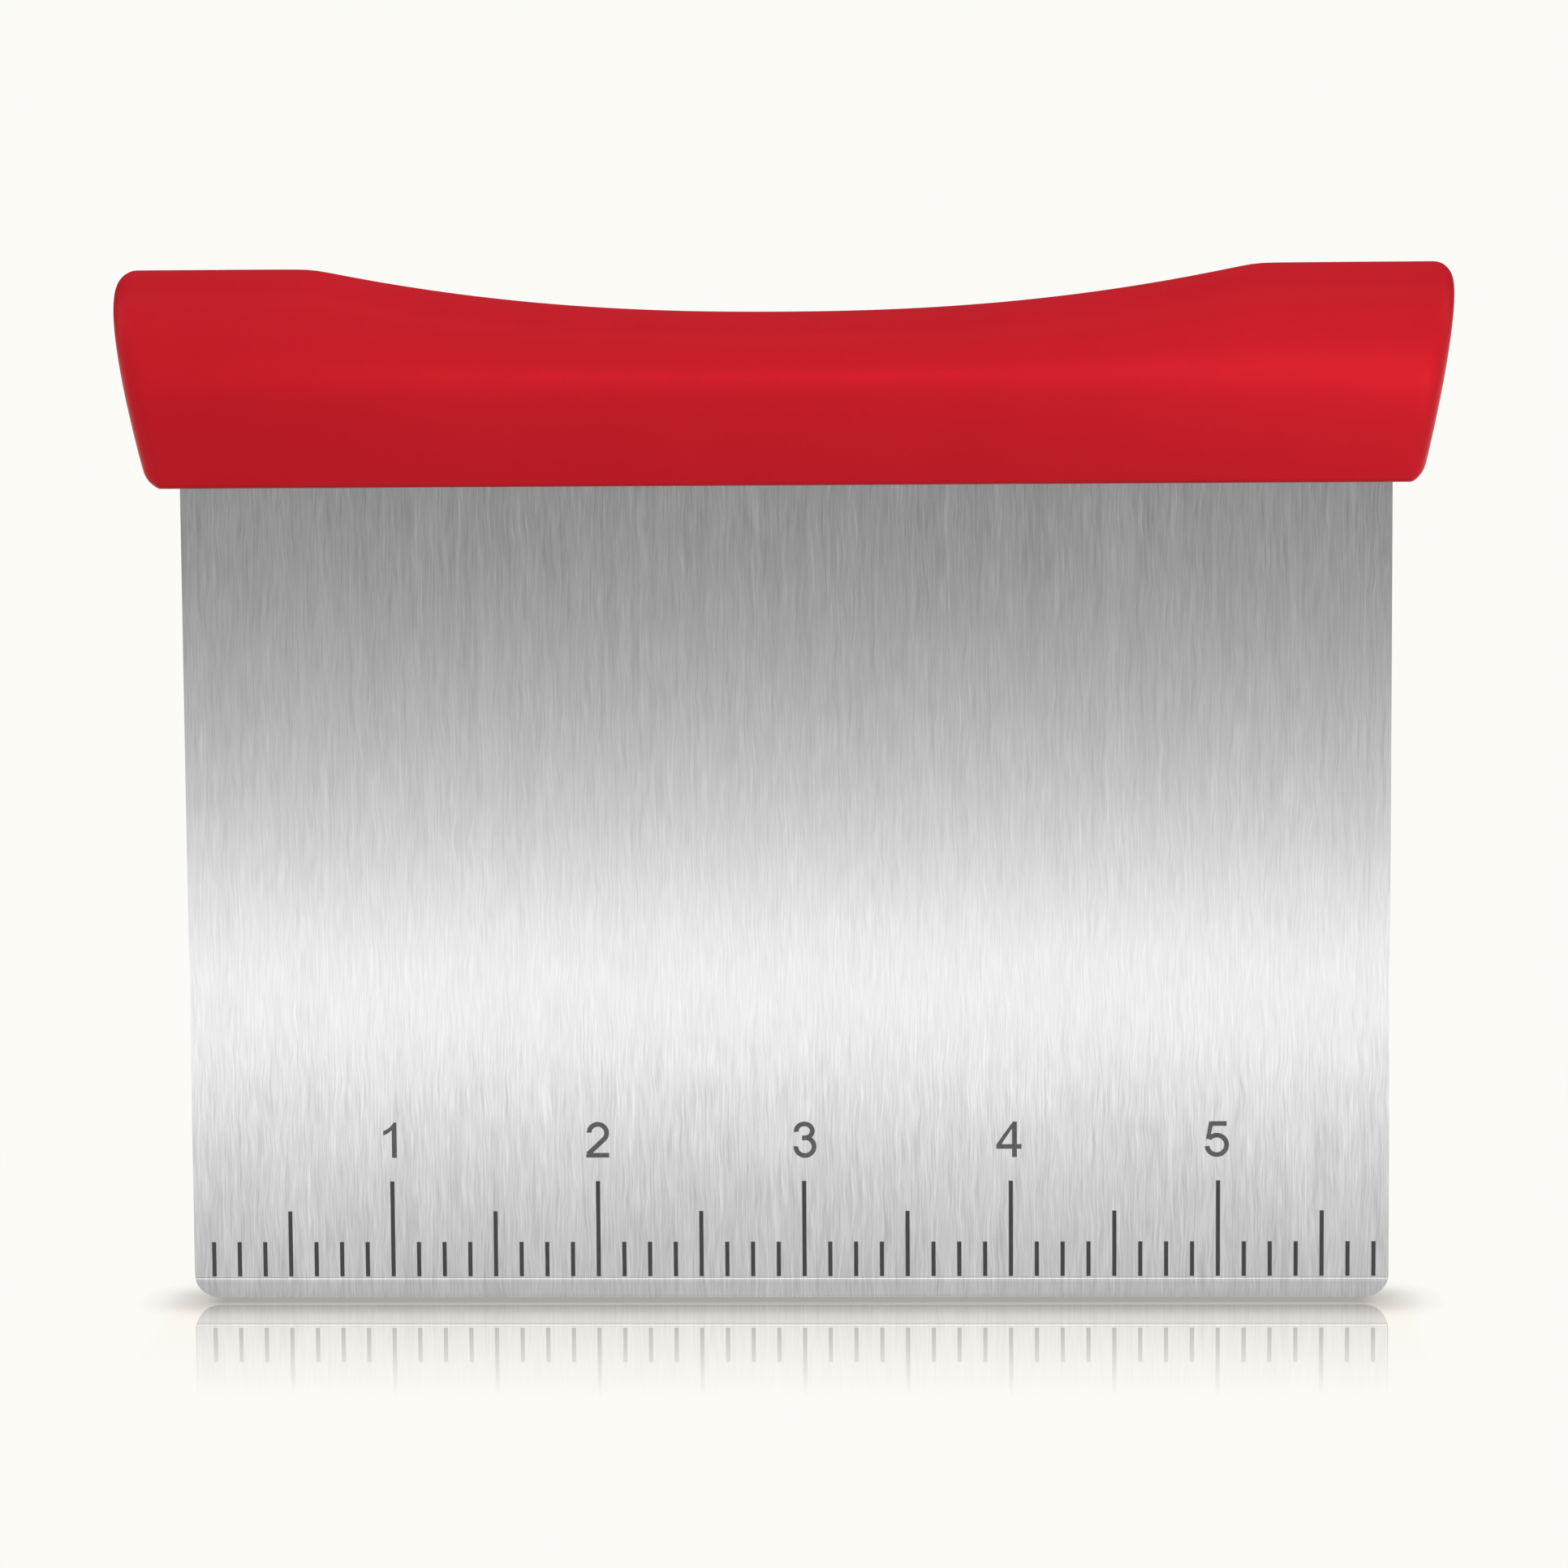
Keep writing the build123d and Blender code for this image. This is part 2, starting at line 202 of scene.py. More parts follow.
# --------------------------------------------------------------------- floor
# A pale glossy table top that fades into the backdrop. Its contact shadow is
# painted shade set by distance from the edge; its mirror image of the edge fades with distance.
FLOOR_R = 0.26
rings, spokes = 10, 96
verts, faces = [(0.0, 0.0, 0.0)], []
for i in range(1, rings + 1):
    for j in range(spokes):
        a = 2 * math.pi * j / spokes
        verts.append((FLOOR_R * i / rings * math.cos(a), FLOOR_R * i / rings * math.sin(a), 0.0))
for j in range(spokes):
    faces.append((0, 1 + j, 1 + (j + 1) % spokes))
    for i in range(rings - 1):
        a, b = 1 + i * spokes, 1 + (i + 1) * spokes
        k = (j + 1) % spokes
        faces.append((a + j, b + j, b + k, a + k))
mesh = bpy.data.meshes.new("table_top")
mesh.from_pydata(verts, [], faces)
floor = bpy.data.objects.new("table_top", mesh)
scene.collection.objects.link(floor)
floor.location.z = -0.0005
floor.visible_diffuse = False
floor.visible_glossy = False
floor.visible_shadow = False

m = bpy.data.materials.new("table_top")
m.use_nodes = True
g = Graph(m.node_tree)
tc = g.add("ShaderNodeTexCoord")
sep = g.add("ShaderNodeSeparateXYZ", {"Vector": tc.outputs["Object"]})
radius = g.add("ShaderNodeVectorMath", {0: tc.outputs["Object"]}, operation="LENGTH").outputs["Value"]
cover = g.remap(radius, FLOOR_R * 0.45, FLOOR_R * 0.95, 1.0, 0.0, smooth=True)
wide = g.add("ShaderNodeAmbientOcclusion", {"Distance": 0.11}, samples=24)
past_end = g.math("MAXIMUM", g.math("SUBTRACT", g.math("ABSOLUTE", sep.outputs["X"]), 0.0700), 0.0)
under = g.math("MULTIPLY", sep.outputs["Y"], 0.15)             # painted shade reaches further behind the edge, where the floor is seen through the gap below it
across = g.math("MAXIMUM", g.math("MULTIPLY", sep.outputs["Y"], -1.0),
                g.math("MAXIMUM", under, g.math("SUBTRACT", sep.outputs["Y"], 0.0025)))
from_edge = g.math("SQRT", g.math("ADD", g.math("MULTIPLY", past_end, past_end), g.math("MULTIPLY", across, across)))
# painted contact shadow: darkness set by distance from the blade's edge, times a faint painted occlusion shade from
# the AO node
painted_contact_shadow = g.ramp(g.remap(from_edge, 0.0, 0.020), [(0.0, 0.42), (0.05, 0.50), (0.12, 0.645), (0.215, 0.735), (0.34, 0.87),
                                                  (0.41, 0.94), (0.55, 1.0), (0.75, 1.0), (1.0, 1.0)])
shade = g.math("MULTIPLY", painted_contact_shadow, g.remap(wide.outputs["AO"], 0.3, 1.0, 0.985, 1.0))
# the painted shade also turns the floor warmer where it is darker
pale = g.mix(1.0, (*BACKDROP, 1.0), g.mix(g.remap(shade, 0.6, 1.0), (0.93, 0.90, 0.88, 1.0), (1.0, 1.0, 1.0, 1.0)),
             blend="MULTIPLY")
glow = g.add("ShaderNodeEmission", {"Color": pale, "Strength": shade})
# the mirror image is darkened by the same painted shade
dim = g.add("ShaderNodeVectorMath", {0: (1.0, 0.945, 0.90), "Scale": shade}, operation="SCALE")
mirror = g.add("ShaderNodeBsdfGlossy", {"Color": dim.outputs[0], "Roughness": 0.0})
away = g.math("ABSOLUTE", sep.outputs["Y"])
front_side = g.math("MULTIPLY", g.remap(sep.outputs["Y"], 0.0, 0.002, 1.0, 0.0),
                    g.remap(g.math("ABSOLUTE", sep.outputs["X"]), 0.0742, 0.0770, 1.0, 0.0, smooth=True))
strength = g.math("MULTIPLY", g.ramp(g.remap(away, 0.0, 0.060),
                                     [(0.0, 0.70), (0.23, 0.50), (0.46, 0.34), (0.69, 0.16), (0.80, 0.07), (0.88, 0.0)]),
                  front_side)
top = g.add("ShaderNodeMixShader", {0: strength, 1: glow.outputs[0], 2: mirror.outputs[0]})
clear = g.add("ShaderNodeBsdfTransparent")
both = g.add("ShaderNodeMixShader", {0: cover, 1: clear.outputs[0], 2: top.outputs[0]})
g.put(g.add("ShaderNodeOutputMaterial"), "Surface", both.outputs[0])
wear(floor, m)

# -------------------------------------------------------------------- lights


def panel(name, location, target, size, watts, colour=(1, 1, 1)):
    """A soft rectangular light that the camera doesn't see."""
    data = bpy.data.lights.new(name, "AREA")
    data.shape = "RECTANGLE"
    data.size, data.size_y = size
    data.energy = watts
    data.color = colour
    obj = bpy.data.objects.new(name, data)
    scene.collection.objects.link(obj)
    obj.location = location
    obj.rotation_euler = (Vector(target) - Vector(location)).to_track_quat("-Z", "Y").to_euler()
    obj.visible_camera = False
    return obj


strip = panel("strip_front", (0.045, -0.36, 0.122), (0.02, 0.0, 0.114), (0.34, 0.058), 0.34)
right = panel("strip_right", (0.135, -0.22, 0.070), (0.074, -0.011, 0.111), (0.06, 0.03), 0.068)
low = panel("low_right", (0.20, -0.18, 0.066), (0.05, 0.0, 0.110), (0.10, 0.06), 0.055)
# lights that only lift matte surfaces
fills = [panel("fill_above", (0.0, 0.22, 0.92), (0.0, 0.0, 0.12), (0.9, 0.7), 6.7),
         panel("fill_front", (0.0, -1.0, 0.50), (0.0, 0.0, 0.11), (1.2, 0.6), 1.15),
         panel("fill_rear", (0.0, 0.75, 0.55), (0.0, 0.0, 0.12), (0.9, 0.5), 9.0),
         panel("fill_left", (-0.9, 0.15, 0.25), (-0.08, 0.0, 0.11), (0.5, 0.5), 2.6),
         panel("fill_right", (0.9, 0.15, 0.25), (0.08, 0.0, 0.11), (0.5, 0.5), 2.4)]
for lamp in fills:
    lamp.visible_glossy = False
    lamp.data.cycles.use_multiple_importance_sampling = False

# ---------------------------------------------------------------------- grip
# The same handle as the CAD grip, as one clean quad shell: outer skin, slot
# for the blade, and the cavity that the core fills.  Millimetres until the end.
Z0, ZTOP = 100.4, 126.55
SADDLE, SADDLE_L, SADDLE_P, SADDLE_B = 5.5, 57.0, 2.25, 0.25
T_BOTTOM, T_WIDE, H_WIDE = 8.9, 11.7, 12.0
CROWN_H, CROWN_T = 2.8, 2.1
R_END_SIDE, R_END_TOP = 1.8, 2.5        # rounding of the end edges, down the sides and over the top
R_FOOT_FRONT, R_FOOT_END = 0.8, 3.0     # rounding of the lower edge, along the sides and at the low end of the ruler
R_FOOT_FAR = 2.8                        # and at its high end


def circle_through(p, q, r):
    (ax, ay), (bx, by), (cx, cy) = p, q, r
    d = 2 * (ax * (by - cy) + bx * (cy - ay) + cx * (ay - by))
    ux = ((ax * ax + ay * ay) * (by - cy) + (bx * bx + by * by) * (cy - ay) + (cx * cx + cy * cy) * (ay - by)) / d
    uy = ((ax * ax + ay * ay) * (cx - bx) + (bx * bx + by * by) * (ax - cx) + (cx * cx + cy * cy) * (bx - ax)) / d
    return ux, uy, math.hypot(ax - ux, ay - uy)


END = circle_through((76.46, 100.4), (78.75, 112.5), (80.97, 127.6))


def end_x(z):
    return END[0] + math.sqrt(END[2] ** 2 - (z - END[1]) ** 2)


def saddle(x):
    r = SADDLE * (1 - (abs(x) / SADDLE_L) ** SADDLE_P)
    return 0.5 * (r + math.sqrt(r * r + SADDLE_B ** 2))


def half_t(h, top):
    if h <= H_WIDE:
        s = h / H_WIDE
        return T_BOTTOM + (T_WIDE - T_BOTTOM) * (1.5 * s - 0.5 * s * s)
    u = min(1.0, (h - H_WIDE) / (top - H_WIDE))
    return T_WIDE * (1 - u ** CROWN_H) ** (1 / CROWN_T)




def soft_half_t(h, top):
    """The section with its widest line rounded over a few millimetres, more so under the saddle."""
    w = 1.6 + 1.4 * min(1.0, (ZTOP - Z0 - top) / SADDLE)
    if abs(h - H_WIDE) >= w:
        return half_t(h, top)
    a, b, e = H_WIDE - w, H_WIDE + w, 0.01
    ta, tb = half_t(a, top), half_t(b, top)
    sa = (ta - half_t(a - e, top)) / e * 2 * w
    sb = (half_t(b + e, top) - tb) / e * 2 * w
    q = (h - a) / (2 * w)
    return (ta * (2 * q ** 3 - 3 * q * q + 1) + sa * (q ** 3 - 2 * q * q + q)
            + tb * (3 * q * q - 2 * q ** 3) + sb * (q ** 3 - q * q))


BETA = math.radians(17.5)            # lean of the sides at the bottom
BETA_END = math.atan((end_x(Z0 + 2.4) - end_x(Z0)) / 2.4)     # and of the ends
H_START = R_FOOT_END * (1 - math.sin(BETA_END)) + 0.3
LOWER = [H_START + (H_WIDE - H_START) * f for f in (0, 0.13, 0.27, 0.41, 0.54, 0.66, 0.76, 0.85, 0.90, 0.935, 0.97)] + [H_WIDE]
N_UP = 30
END_TAPER = 0.035                    # the handle thins a little towards its ends


def outer_side(x):
    """One side of the section at x, from the bottom fillet to the crown: (thickness, z) and inward normals."""
    top = ZTOP - saddle(x) - Z0
    dense = []
    for k in range(601):
        a = k / 600 * math.pi / 2
        u = math.sin(a) ** 1.0
        u = 1 - (1 - u) if k < 600 else 1.0
        dense.append((soft_half_t(H_WIDE + u * (top - H_WIDE), top), H_WIDE + u * (top - H_WIDE)))
    d = np.array(dense)
    s = np.concatenate([[0], np.cumsum(np.hypot(*np.diff(d, axis=0).T))])
    frac = np.linspace(0, 1, N_UP + 1)
    frac = frac * 0.9 + 0.1 * frac ** 1.6
    frac[-1] = 1.0
    marks = s[-1] * frac[1:]
    # the last rows sit close to the crown line and carry the parting line
    marks[-3:-1] = s[-1] - np.array([0.34, 0.14])
    marks[-4] = 0.5 * (marks[-5] + marks[-3])
    up = np.stack([np.interp(marks, s, d[:, 0]), np.interp(marks, s, d[:, 1])], 1)
    low = np.array([(soft_half_t(h, top), h) for h in LOWER])
    pts = np.concatenate([low, up])
    pts[:, 0] *= 1 - END_TAPER * max(0.0, (min(abs(x), 82.0) - 56.0) / 24.0) ** 2
    pts[-1, 0] = 0.0
    return pts + np.array([0, Z0])


def inward(pts, sharp_bottom=False):
    """Inward normals of a side polyline, in (thickness, z)."""
    tan = np.gradient(pts, axis=0)
    tan[-1] = (-1, 0)
    tan /= np.linalg.norm(tan, axis=1)[:, None]
    return np.stack([-tan[:, 1], tan[:, 0]], 1)


def core_side(x):
    """The cavity, which fits the core."""
    s, flat, low = 62.0, 123.4, 118.0
    if abs(x) < s:
        rr = ((flat - low) ** 2 + s * s) / (2 * (flat - low))
        zc = low + rr - math.sqrt(rr * rr - x * x)
    else:
        zc = flat
    prof = [(6.6, 102.4), (8.4, 105.6), (8.6, 111.6), (6.0, 118.0), (4.2, 123.4)]

    def t_at(z):
        for (ta, za), (tb, zb) in zip(prof, prof[1:]):
            if z <= zb:
                return ta + (tb - ta) * (z - za) / (zb - za)
        return prof[-1][0]
    zs = [102.4, 103.9, 105.6, 107.6, 109.6, 111.6, 113.8]
    zs += [113.8 + (zc - 113.8) * f for f in (0.35, 0.7, 1.0)]
    pts = [(t_at(z), z) for z in zs]
    t = pts[-1][0]
    n = len(LOWER) + N_UP - len(pts)
    pts += [(t * (1 - (k + 1) / n), zc + 0.25 * (k + 1) / n) for k in range(n)]
    return np.array(pts)


# stations: fraction along the handle between the two end fillets, then the fillet angles
N_MAIN, N_FILLET, N_CAP = 116, 8, 16
stations = [("end", -1, math.radians(90 * (N_FILLET - k) / N_FILLET)) for k in range(N_FILLET)]
stations += [("main", -math.cos(math.pi * k / N_MAIN) * 0.25 + 0.75 * (2 * k / N_MAIN - 1), 0.0) for k in range(N_MAIN + 1)]
stations += [("end", 1, math.radians(90 * (k + 1) / N_FILLET)) for k in range(N_FILLET)]
NS = len(stations)
NJ = len(LOWER) + N_UP             # rows on one side, the last is the crown


def end_radius(pts):
    """Rounding radius at each row: small down the sides, larger over the crown."""
    up = np.clip(-inward(pts)[:, 1], 0, 1)
    return R_END_SIDE + (R_END_TOP - R_END_SIDE) * up ** 1.5


def outer_column(kind, s, phi):
    """Points of one station, one side: x, thickness, z for each row, and the same at the very bottom."""
    ends = outer_side_cached(80.0)
    rad = end_radius(ends)
    if kind == "main":
        cols = []
        for j in range(NJ):
            xj = s * (end_x(ends[j, 1]) - rad[j])
            for _ in range(4):
                p = outer_side_cached(xj)[j]
                xj = s * (end_x(p[1]) - rad[j])
            cols.append((xj, p[0], p[1]))
        foot = (s * (end_x(Z0) - R_END_SIDE), T_BOTTOM, Z0)
        return np.array(cols), foot
    off = ends + inward(ends) * (rad * (1 - math.cos(phi)))[:, None]
    off[:, 0] = np.maximum(off[:, 0], 0.2 * ends[:, 0])
    for j in range(len(LOWER) + 1, NJ):          # the crown is tighter than the rounding, so rows mustn't cross
        off[j, 1] = max(off[j, 1], off[j - 1, 1] + 0.003)
        off[j, 0] = min(off[j, 0], off[j - 1, 0] - 0.003) if j < NJ - 1 else 0.0
    x = np.array([s * (end_x(z) - r * (1 - math.sin(phi))) for z, r in zip(off[:, 1], rad)])
    foot = (s * (end_x(Z0) - R_END_SIDE * (1 - math.sin(phi))), T_BOTTOM - R_END_SIDE * (1 - math.cos(phi)), Z0)
    return np.column_stack([x, off]), foot


_cache = {}


def outer_side_cached(x):
    k = round(abs(x), 2)
    if k not in _cache:
        _cache[k] = outer_side(k)
    return _cache[k]


def core_column(kind, s, phi):
    half = 74.6
    x = s * half if kind == "main" else s * half
    if kind == "main":
        x = s * (half - 2.0)
    else:
        x = s * (half - 2.0 + 2.0 * math.degrees(phi) / 90)
    pts = core_side(x)
    return np.column_stack([np.full(len(pts), x), pts])


class Shell:
    """Collects the shell's vertices and faces."""

    def __init__(self):
        self.v, self.f = [], []

    def vert(self, x, y, z):
        self.v.append((x, y, z))
        return len(self.v) - 1

    def face(self, *ids, flip=False):
        ids = list(dict.fromkeys(ids))
        if len(ids) >= 3:
            self.f.append(tuple(reversed(ids)) if flip else tuple(ids))


shell = Shell()
CAP_F = []                          # across an end cap, from front to rear
for k in range(N_CAP + 1):
    CAP_F.append(-math.cos(math.pi * k / N_CAP) * 0.35 + 0.65 * (2 * k / N_CAP - 1))


def cap_y(k, t):
    """y on the ladder across an end: rows beside the middle stay close to the parting line."""
    c = N_CAP // 2
    if k == c:
        return 0.0
    if abs(k - c) in (1, 2):
        a, gmax = ((0.14, 0.10), (0.34, 0.20))[abs(k - c) - 1]
        return math.copysign(min(a, gmax * t), k - c)
    lead = abs(CAP_F[c + 2]) if k > c else abs(CAP_F[c - 2])
    f = (abs(CAP_F[k]) - lead) / (1 - lead)
    inner = min(0.34, 0.20 * t)
    return math.copysign(inner + f * (t - inner), k - c)


def sheet(columns, flip):
    """Front, crown, rear and both end caps from one column per station. Returns the bottom loop."""
    ids = []
    for col in columns:
        front = [shell.vert(x, -t, z) for x, t, z in col[:-1]]
        crown = shell.vert(col[-1][0], 0.0, col[-1][2])
        rear = [shell.vert(x, t, z) for x, t, z in col[:-1]]
        ids.append(front + [crown] + rear[::-1])
    rows = len(ids[0])
    for i in range(len(ids) - 1):
        for j in range(rows - 1):
            shell.face(ids[i][j], ids[i + 1][j], ids[i + 1][j + 1], ids[i][j + 1], flip=flip)
    caps = []
    for end, col, side in ((0, columns[0], -1), (len(ids) - 1, columns[-1], 1)):
        ladder = []
        n = len(col) - 1
        for j in range(n):
            x, t, z = col[j]
            row = [ids[end][j]]
            row += [shell.vert(x, cap_y(k, t), z) for k in range(1, N_CAP)]
            row += [ids[end][rows - 1 - j]]
            ladder.append(row)
        ladder.append([ids[end][n]] * (N_CAP + 1))
        for j in range(n):
            for k in range(N_CAP):
                shell.face(ladder[j][k], ladder[j][k + 1], ladder[j + 1][k + 1], ladder[j + 1][k],
                           flip=flip if side > 0 else not flip)
        caps.append(ladder)
    loop = [ids[i][0] for i in range(len(ids))]
    loop += caps[1][0][1:-1]
    loop += [ids[i][-1] for i in range(len(ids) - 1, -1, -1)]
    loop += caps[0][0][1:-1][::-1]
    return loop


def band(a, b, flip):
    n = len(a)
    for c in range(n):
        d = (c + 1) % n
        shell.face(a[c], b[c], b[d], a[d], flip=flip)


outer_cols, feet = [], []
for st in stations:
    col, foot = outer_column(*st)
    outer_cols.append(col)
    feet.append(foot)
loop_outer = sheet(outer_cols, flip=False)

# plan of the sharp bottom outline and its outward normals, round the same loop
plan, plan_n = [], []
for (kind, s, phi), foot in zip(stations, feet):
    plan.append((foot[0], -foot[1]))
    plan_n.append((s * math.sin(phi) if kind == "end" else 0.0, -math.cos(phi)))
tip = feet[-1]
for k in range(1, N_CAP):
    plan.append((tip[0], cap_y(k, tip[1])))
    plan_n.append((1.0, 0.0))
for (kind, s, phi), foot in reversed(list(zip(stations, feet))):
    plan.append((foot[0], foot[1]))
    plan_n.append((s * math.sin(phi) if kind == "end" else 0.0, math.cos(phi)))
tip = feet[0]
for k in range(N_CAP - 1, 0, -1):
    plan.append((tip[0], cap_y(k, tip[1])))
    plan_n.append((-1.0, 0.0))
plan, plan_n = np.array(plan), np.array(plan_n)

r_foot = R_FOOT_FRONT + np.where(plan_n[:, :1] < 0, (R_FOOT_END - R_FOOT_FRONT) * abs(plan_n[:, :1]),
                                 (R_FOOT_FAR - R_FOOT_FRONT) * plan_n[:, :1] ** 2)
lean = BETA + (BETA_END - BETA) * plan_n[:, :1] ** 2
centre = plan - plan_n * r_foot * (1 - np.sin(lean)) / np.cos(lean)
for i, (kind, s, phi) in enumerate(stations):
    steps = NS - 1 - i if s > 0 else i
    for j in (i, 2 * NS + N_CAP - 2 - i):
        if kind == "end":                # keeps the corner's inner line from turning back on itself
            tip_y = abs(centre[NS - 1 if s > 0 else 0, 1])
            centre[j, 1] = math.copysign(max(abs(centre[j, 1]), tip_y + 0.03 * steps), centre[j, 1])
previous = loop_outer
N_BF = 8
for k in range(0, N_BF + 1):
    psi = lean + (math.pi / 2 - lean) * k / N_BF
    xy = centre + plan_n * r_foot * np.cos(psi)
    z = Z0 + (r_foot * (1 - np.sin(psi)))[:, 0]
    ring = [shell.vert(px, py, pz) for (px, py), pz in zip(xy, z)]
    band(previous, ring, flip=False)
    previous = ring

# flat underside, lip of the slot, slot wall
SLOT_X, SLOT_Y, GAP, LIP = 73.6, 0.5, 0.05, 0.30
slot, slot_n = [], []
for px, py in plan[:NS]:
    slot.append((max(-SLOT_X, min(SLOT_X, px)), -SLOT_Y))
for k in range(1, N_CAP):
    slot.append((SLOT_X, -SLOT_Y + 2 * SLOT_Y * k / N_CAP))
for px, py in plan[NS + N_CAP - 1:2 * NS + N_CAP - 1]:
    slot.append((max(-SLOT_X, min(SLOT_X, px)), SLOT_Y))
for k in range(N_CAP - 1, 0, -1):
    slot.append((-SLOT_X, -SLOT_Y + 2 * SLOT_Y * k / N_CAP))
slot = np.array(slot)


def slot_ring(extra, z):
    out = []
    for x, y in slot:
        ox = x * (SLOT_X + extra) / SLOT_X if abs(abs(x) - SLOT_X) < 1e-6 else x
        oy = y / SLOT_Y * (SLOT_Y + extra)
        out.append(shell.vert(ox, oy, z))
    return out


edge = centre
lip_outer = np.array([(x * (SLOT_X + LIP + GAP) / SLOT_X if abs(abs(x) - SLOT_X) < 1e-6 else x,
                       y / SLOT_Y * (SLOT_Y + LIP + GAP)) for x, y in slot])
for f in (0.25, 0.5, 0.75):
    ring = [shell.vert(*(edge[c] * (1 - f) + lip_outer[c] * f), Z0) for c in range(len(edge))]
    band(previous, ring, flip=False)
    previous = ring
for k in range(0, 5):
    a = math.pi / 2 * k / 4
    ring = slot_ring(GAP + LIP * (1 - math.sin(a)), Z0 + LIP * (1 - math.cos(a)))
    band(previous, ring, flip=False)
    previous = ring
ring = slot_ring(GAP, 102.4 - 0.02)
band(previous, ring, flip=False)
previous = ring

core_cols = [core_column(*st) for st in stations]
loop_core = sheet(core_cols, flip=True)
band(previous, loop_core, flip=False)

v = np.array(shell.v)
# parting line: a low ridge along the middle of the crown and the ends
outer_n = NS * (2 * NJ - 1) + 2 * (NJ - 1) * (N_CAP - 1)
mesh = bpy.data.meshes.new("grip_skin")
mesh.from_pydata([tuple(p) for p in v * MM], [], shell.f)
mesh.update()
mesh.validate(verbose=False)
normal = np.zeros(len(mesh.vertices) * 3)
mesh.vertices.foreach_get("normal", normal)
normal = normal.reshape(-1, 3)
on_line = (np.abs(v[:, 1]) < 0.15) & (np.arange(len(v)) < outer_n)
v[on_line] += normal[on_line] * 0.045
mesh.vertices.foreach_set("co", (v * MM).astype(np.float32).ravel())
mesh.update()
bm = bmesh.new()
bm.from_mesh(mesh)
bmesh.ops.remove_doubles(bm, verts=bm.verts, dist=1e-6)
bm.to_mesh(mesh)
bm.free()
grip = bpy.data.objects.new("grip_skin", mesh)
scene.collection.objects.link(grip)
shade_by_angle(grip, 40)
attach(grip, "root")
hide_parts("grip")

# the three lights near the grip are flagged off the steel
flagged = bpy.data.collections.new("near_lights_receivers")
flagged.objects.link(grip)
for lamp in (strip, right, low):
    lamp.light_linking.receiver_collection = flagged

# ----------------------------------------------------------------- materials
# red soft-touch elastomer
red, g, p = material("grip_rubber")
at = g.coords()
cloud = g.noise(at, scale=38.0, detail=3.0, roughness=0.55)
speck = g.noise(at, scale=900.0, detail=2.0)
tone = g.mix(g.remap(cloud, 0.3, 0.7), (0.392, 0.0088, 0.0155, 1.0), (0.415, 0.0099, 0.0172, 1.0))
tone = g.mix(g.remap(speck, 0.25, 0.75, 0.0, 0.10), tone, (0.35, 0.0077, 0.0136, 1.0))
g.put(p, "Base Color", tone)
g.put(p, "Roughness", g.remap(g.noise(at, scale=160.0, detail=3.0), 0.3, 0.7, 0.34, 0.40))
p.inputs["IOR"].default_value = 1.5
p.inputs["Specular IOR Level"].default_value = 1.0
p.inputs["Specular Tint"].default_value = (1.0, 0.025, 0.037, 1.0)
grain = g.noise(at, scale=5200.0, detail=2.0, roughness=0.6)
waves = g.noise(at, scale=420.0, detail=2.0)
bump = g.add("ShaderNodeBump", {"Strength": 0.10, "Distance": 0.00005, "Height": grain})
bump2 = g.add("ShaderNodeBump", {"Strength": 0.06, "Distance": 0.0002, "Height": waves, "Normal": bump.outputs[0]})
g.put(p, "Normal", bump2.outputs[0])
wear(grip, red)

# brushed stainless, grain running up and down
steel, g, p = material("blade_steel")
tc = g.add("ShaderNodeTexCoord")
sep = g.add("ShaderNodeSeparateXYZ", {"Vector": tc.outputs["Object"]})
wander = g.noise(g.coords((260, 260, 130)), scale=1.0, detail=2.0)
bent = g.math("ADD", sep.outputs["X"], g.math("MULTIPLY", g.math("SUBTRACT", wander, 0.5), 0.0011))


def streak(width, length, seed, detail=2.0, roughness=0.6):
    vec = g.add("ShaderNodeCombineXYZ", {"X": g.math("MULTIPLY", bent, 1 / width),
                                         "Y": g.math("MULTIPLY_ADD", sep.outputs["Y"], 400.0, seed),
                                         "Z": g.math("MULTIPLY", sep.outputs["Z"], 1 / length)})
    return g.noise(vec.outputs[0], scale=1.0, detail=detail, roughness=roughness)


hair = streak(0.00022, 0.0055, 3.1)
line = streak(0.00060, 0.0150, 17.7)
broad = streak(0.0032, 0.0400, 31.3, detail=3.0)
mixed = g.math("ADD", g.math("MULTIPLY", g.math("SUBTRACT", hair, 0.5), 0.62),
               g.math("MULTIPLY", g.math("SUBTRACT", line, 0.5), 0.30))
mixed = g.math("ADD", mixed, g.math("MULTIPLY", g.math("SUBTRACT", broad, 0.5), 0.14))
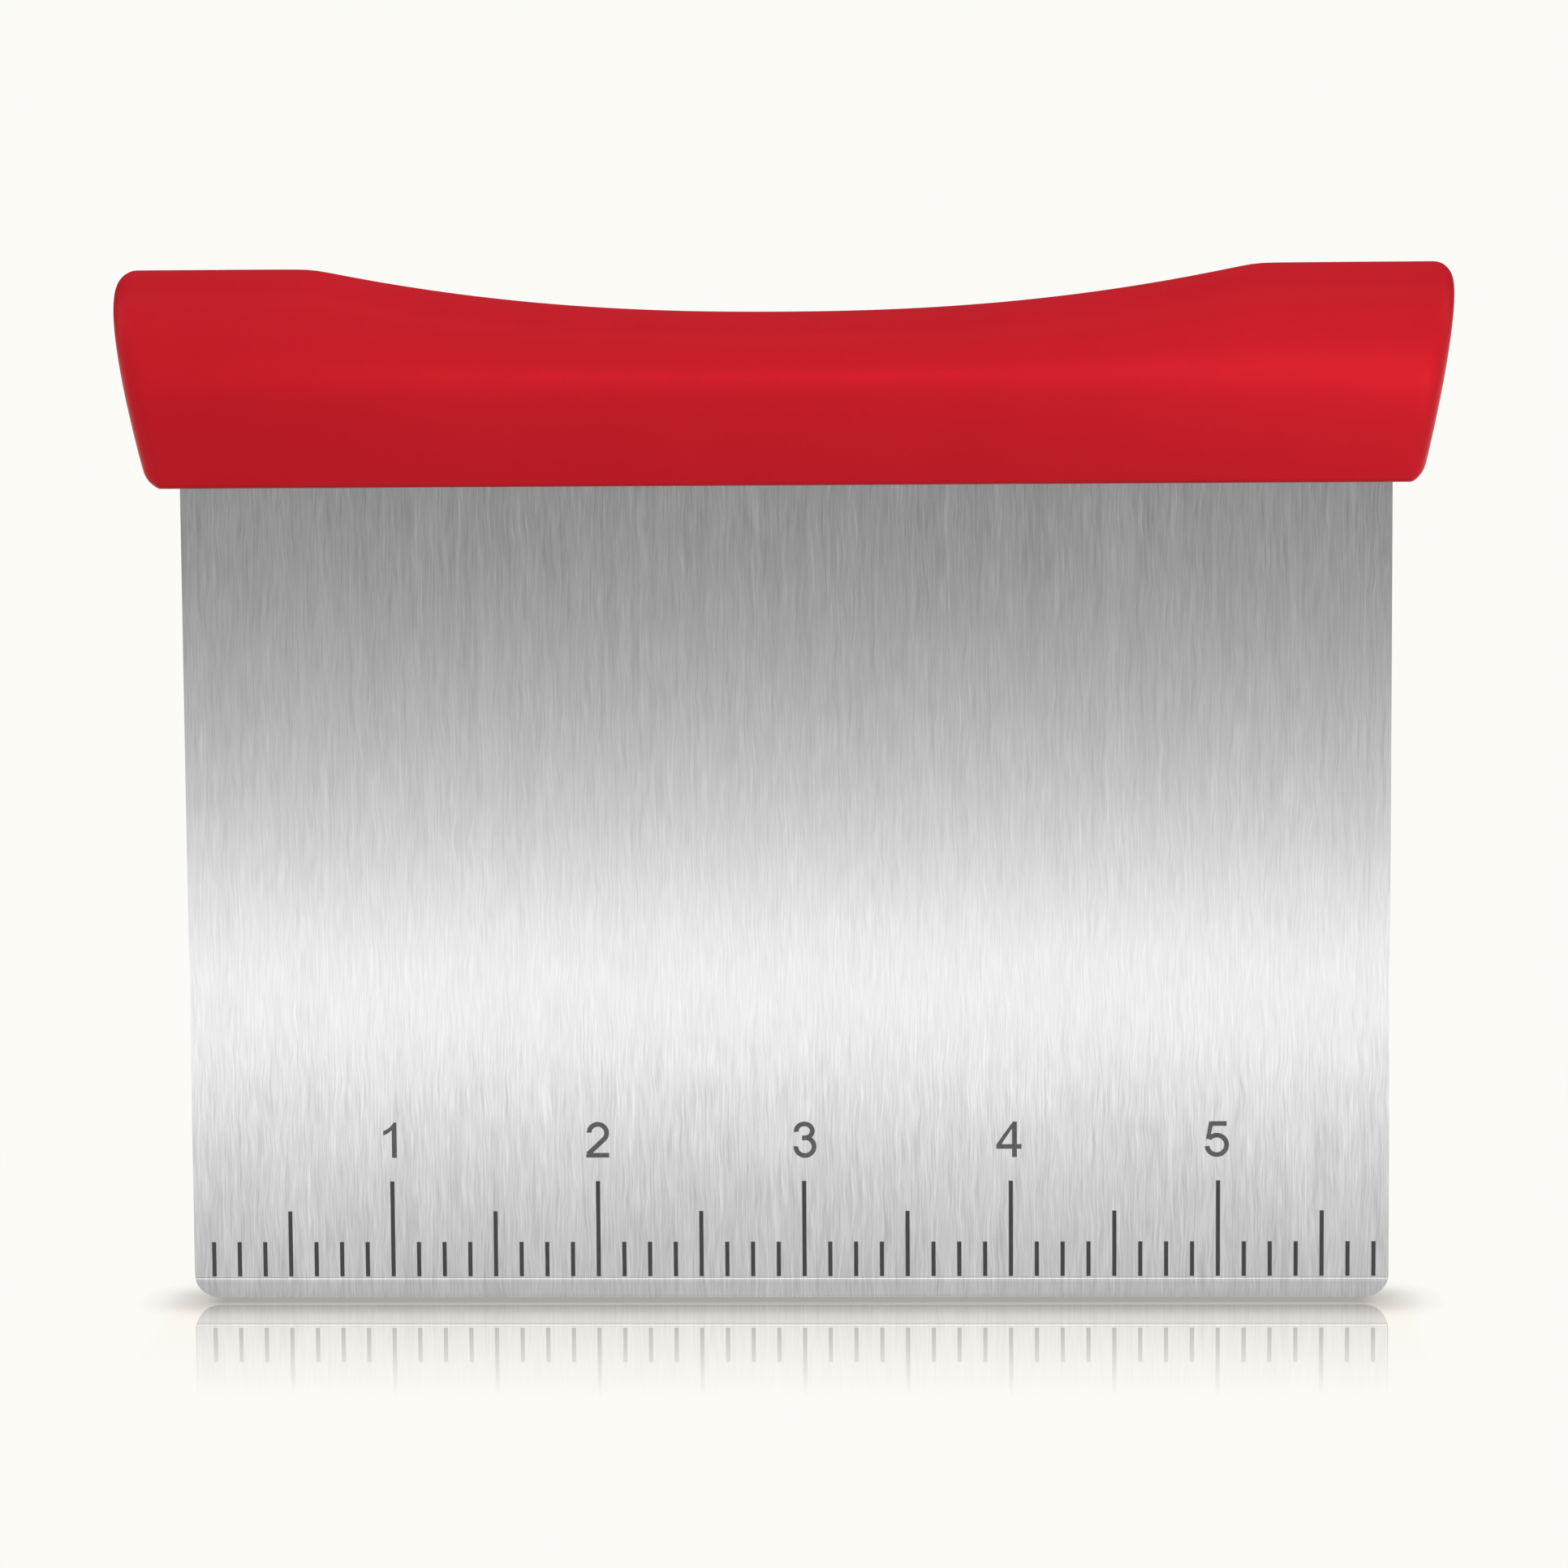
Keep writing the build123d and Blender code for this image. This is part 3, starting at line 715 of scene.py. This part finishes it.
# the grain is coarser near the edge and near the grip
depth = g.ramp(g.remap(sep.outputs["Z"], 0.0, 0.1024), [(0.0, 1.12), (0.25, 1.12), (0.36, 0.66), (0.60, 0.74),
                                                        (0.80, 0.74), (0.95, 1.12)])
tone = g.math("MULTIPLY_ADD", mixed, depth, 1.0)
colour = g.add("ShaderNodeCombineColor", {"Red": g.math("MULTIPLY", tone, 0.648), "Green": g.math("MULTIPLY", tone, 0.650),
                                          "Blue": g.math("MULTIPLY", tone, 0.650)})
g.put(p, "Base Color", colour.outputs[0])
p.inputs["Metallic"].default_value = 1.0
g.put(p, "Roughness", g.remap(line, 0.3, 0.7, 0.15, 0.18))
p.inputs["Anisotropic"].default_value = 0.95
wear(nodes["blade"], steel)

# engraving fill


def enamel(name, value):
    m, g, p = material(name)
    at = g.coords((1, 1, 0.35))
    n = g.noise(at, scale=2600.0, detail=2.0)
    g.put(p, "Base Color", g.mix(g.remap(n, 0.3, 0.7), (value * 0.86,) * 3 + (1.0,), (value * 1.14,) * 3 + (1.0,)))
    g.put(p, "Roughness", g.remap(n, 0.3, 0.7, 0.55, 0.70))
    p.inputs["Specular IOR Level"].default_value = 0.3
    bump = g.add("ShaderNodeBump", {"Strength": 0.2, "Distance": 0.00002, "Height": n})
    g.put(p, "Normal", bump.outputs[0])
    return m


wear(nodes["ruler_graduations"], enamel("graduation_enamel", 0.058))
wear(nodes["ruler_numerals"], enamel("numeral_enamel", 0.115))

# moulded core, inside the grip
plastic, g, p = material("core_plastic")
at = g.coords()
g.put(p, "Base Color", g.mix(g.noise(at, scale=90.0, detail=3.0), (0.27, 0.012, 0.018, 1), (0.34, 0.018, 0.024, 1)))
g.put(p, "Roughness", g.remap(g.noise(at, scale=700.0), 0.3, 0.7, 0.45, 0.6))
bump = g.add("ShaderNodeBump", {"Strength": 0.15, "Distance": 0.00005, "Height": g.noise(at, scale=3000.0)})
g.put(p, "Normal", bump.outputs[0])
wear(nodes["core_front"], plastic)
wear(nodes["core_rear"], plastic)

# rivets
rivet, g, p = material("rivet_steel")
at = g.coords()
n = g.noise(at, scale=1500.0, detail=3.0)
g.put(p, "Base Color", g.mix(n, (0.50, 0.50, 0.51, 1), (0.62, 0.62, 0.62, 1)))
p.inputs["Metallic"].default_value = 1.0
g.put(p, "Roughness", g.remap(n, 0.3, 0.7, 0.28, 0.42))
wear(nodes["tang_rivets"], rivet)
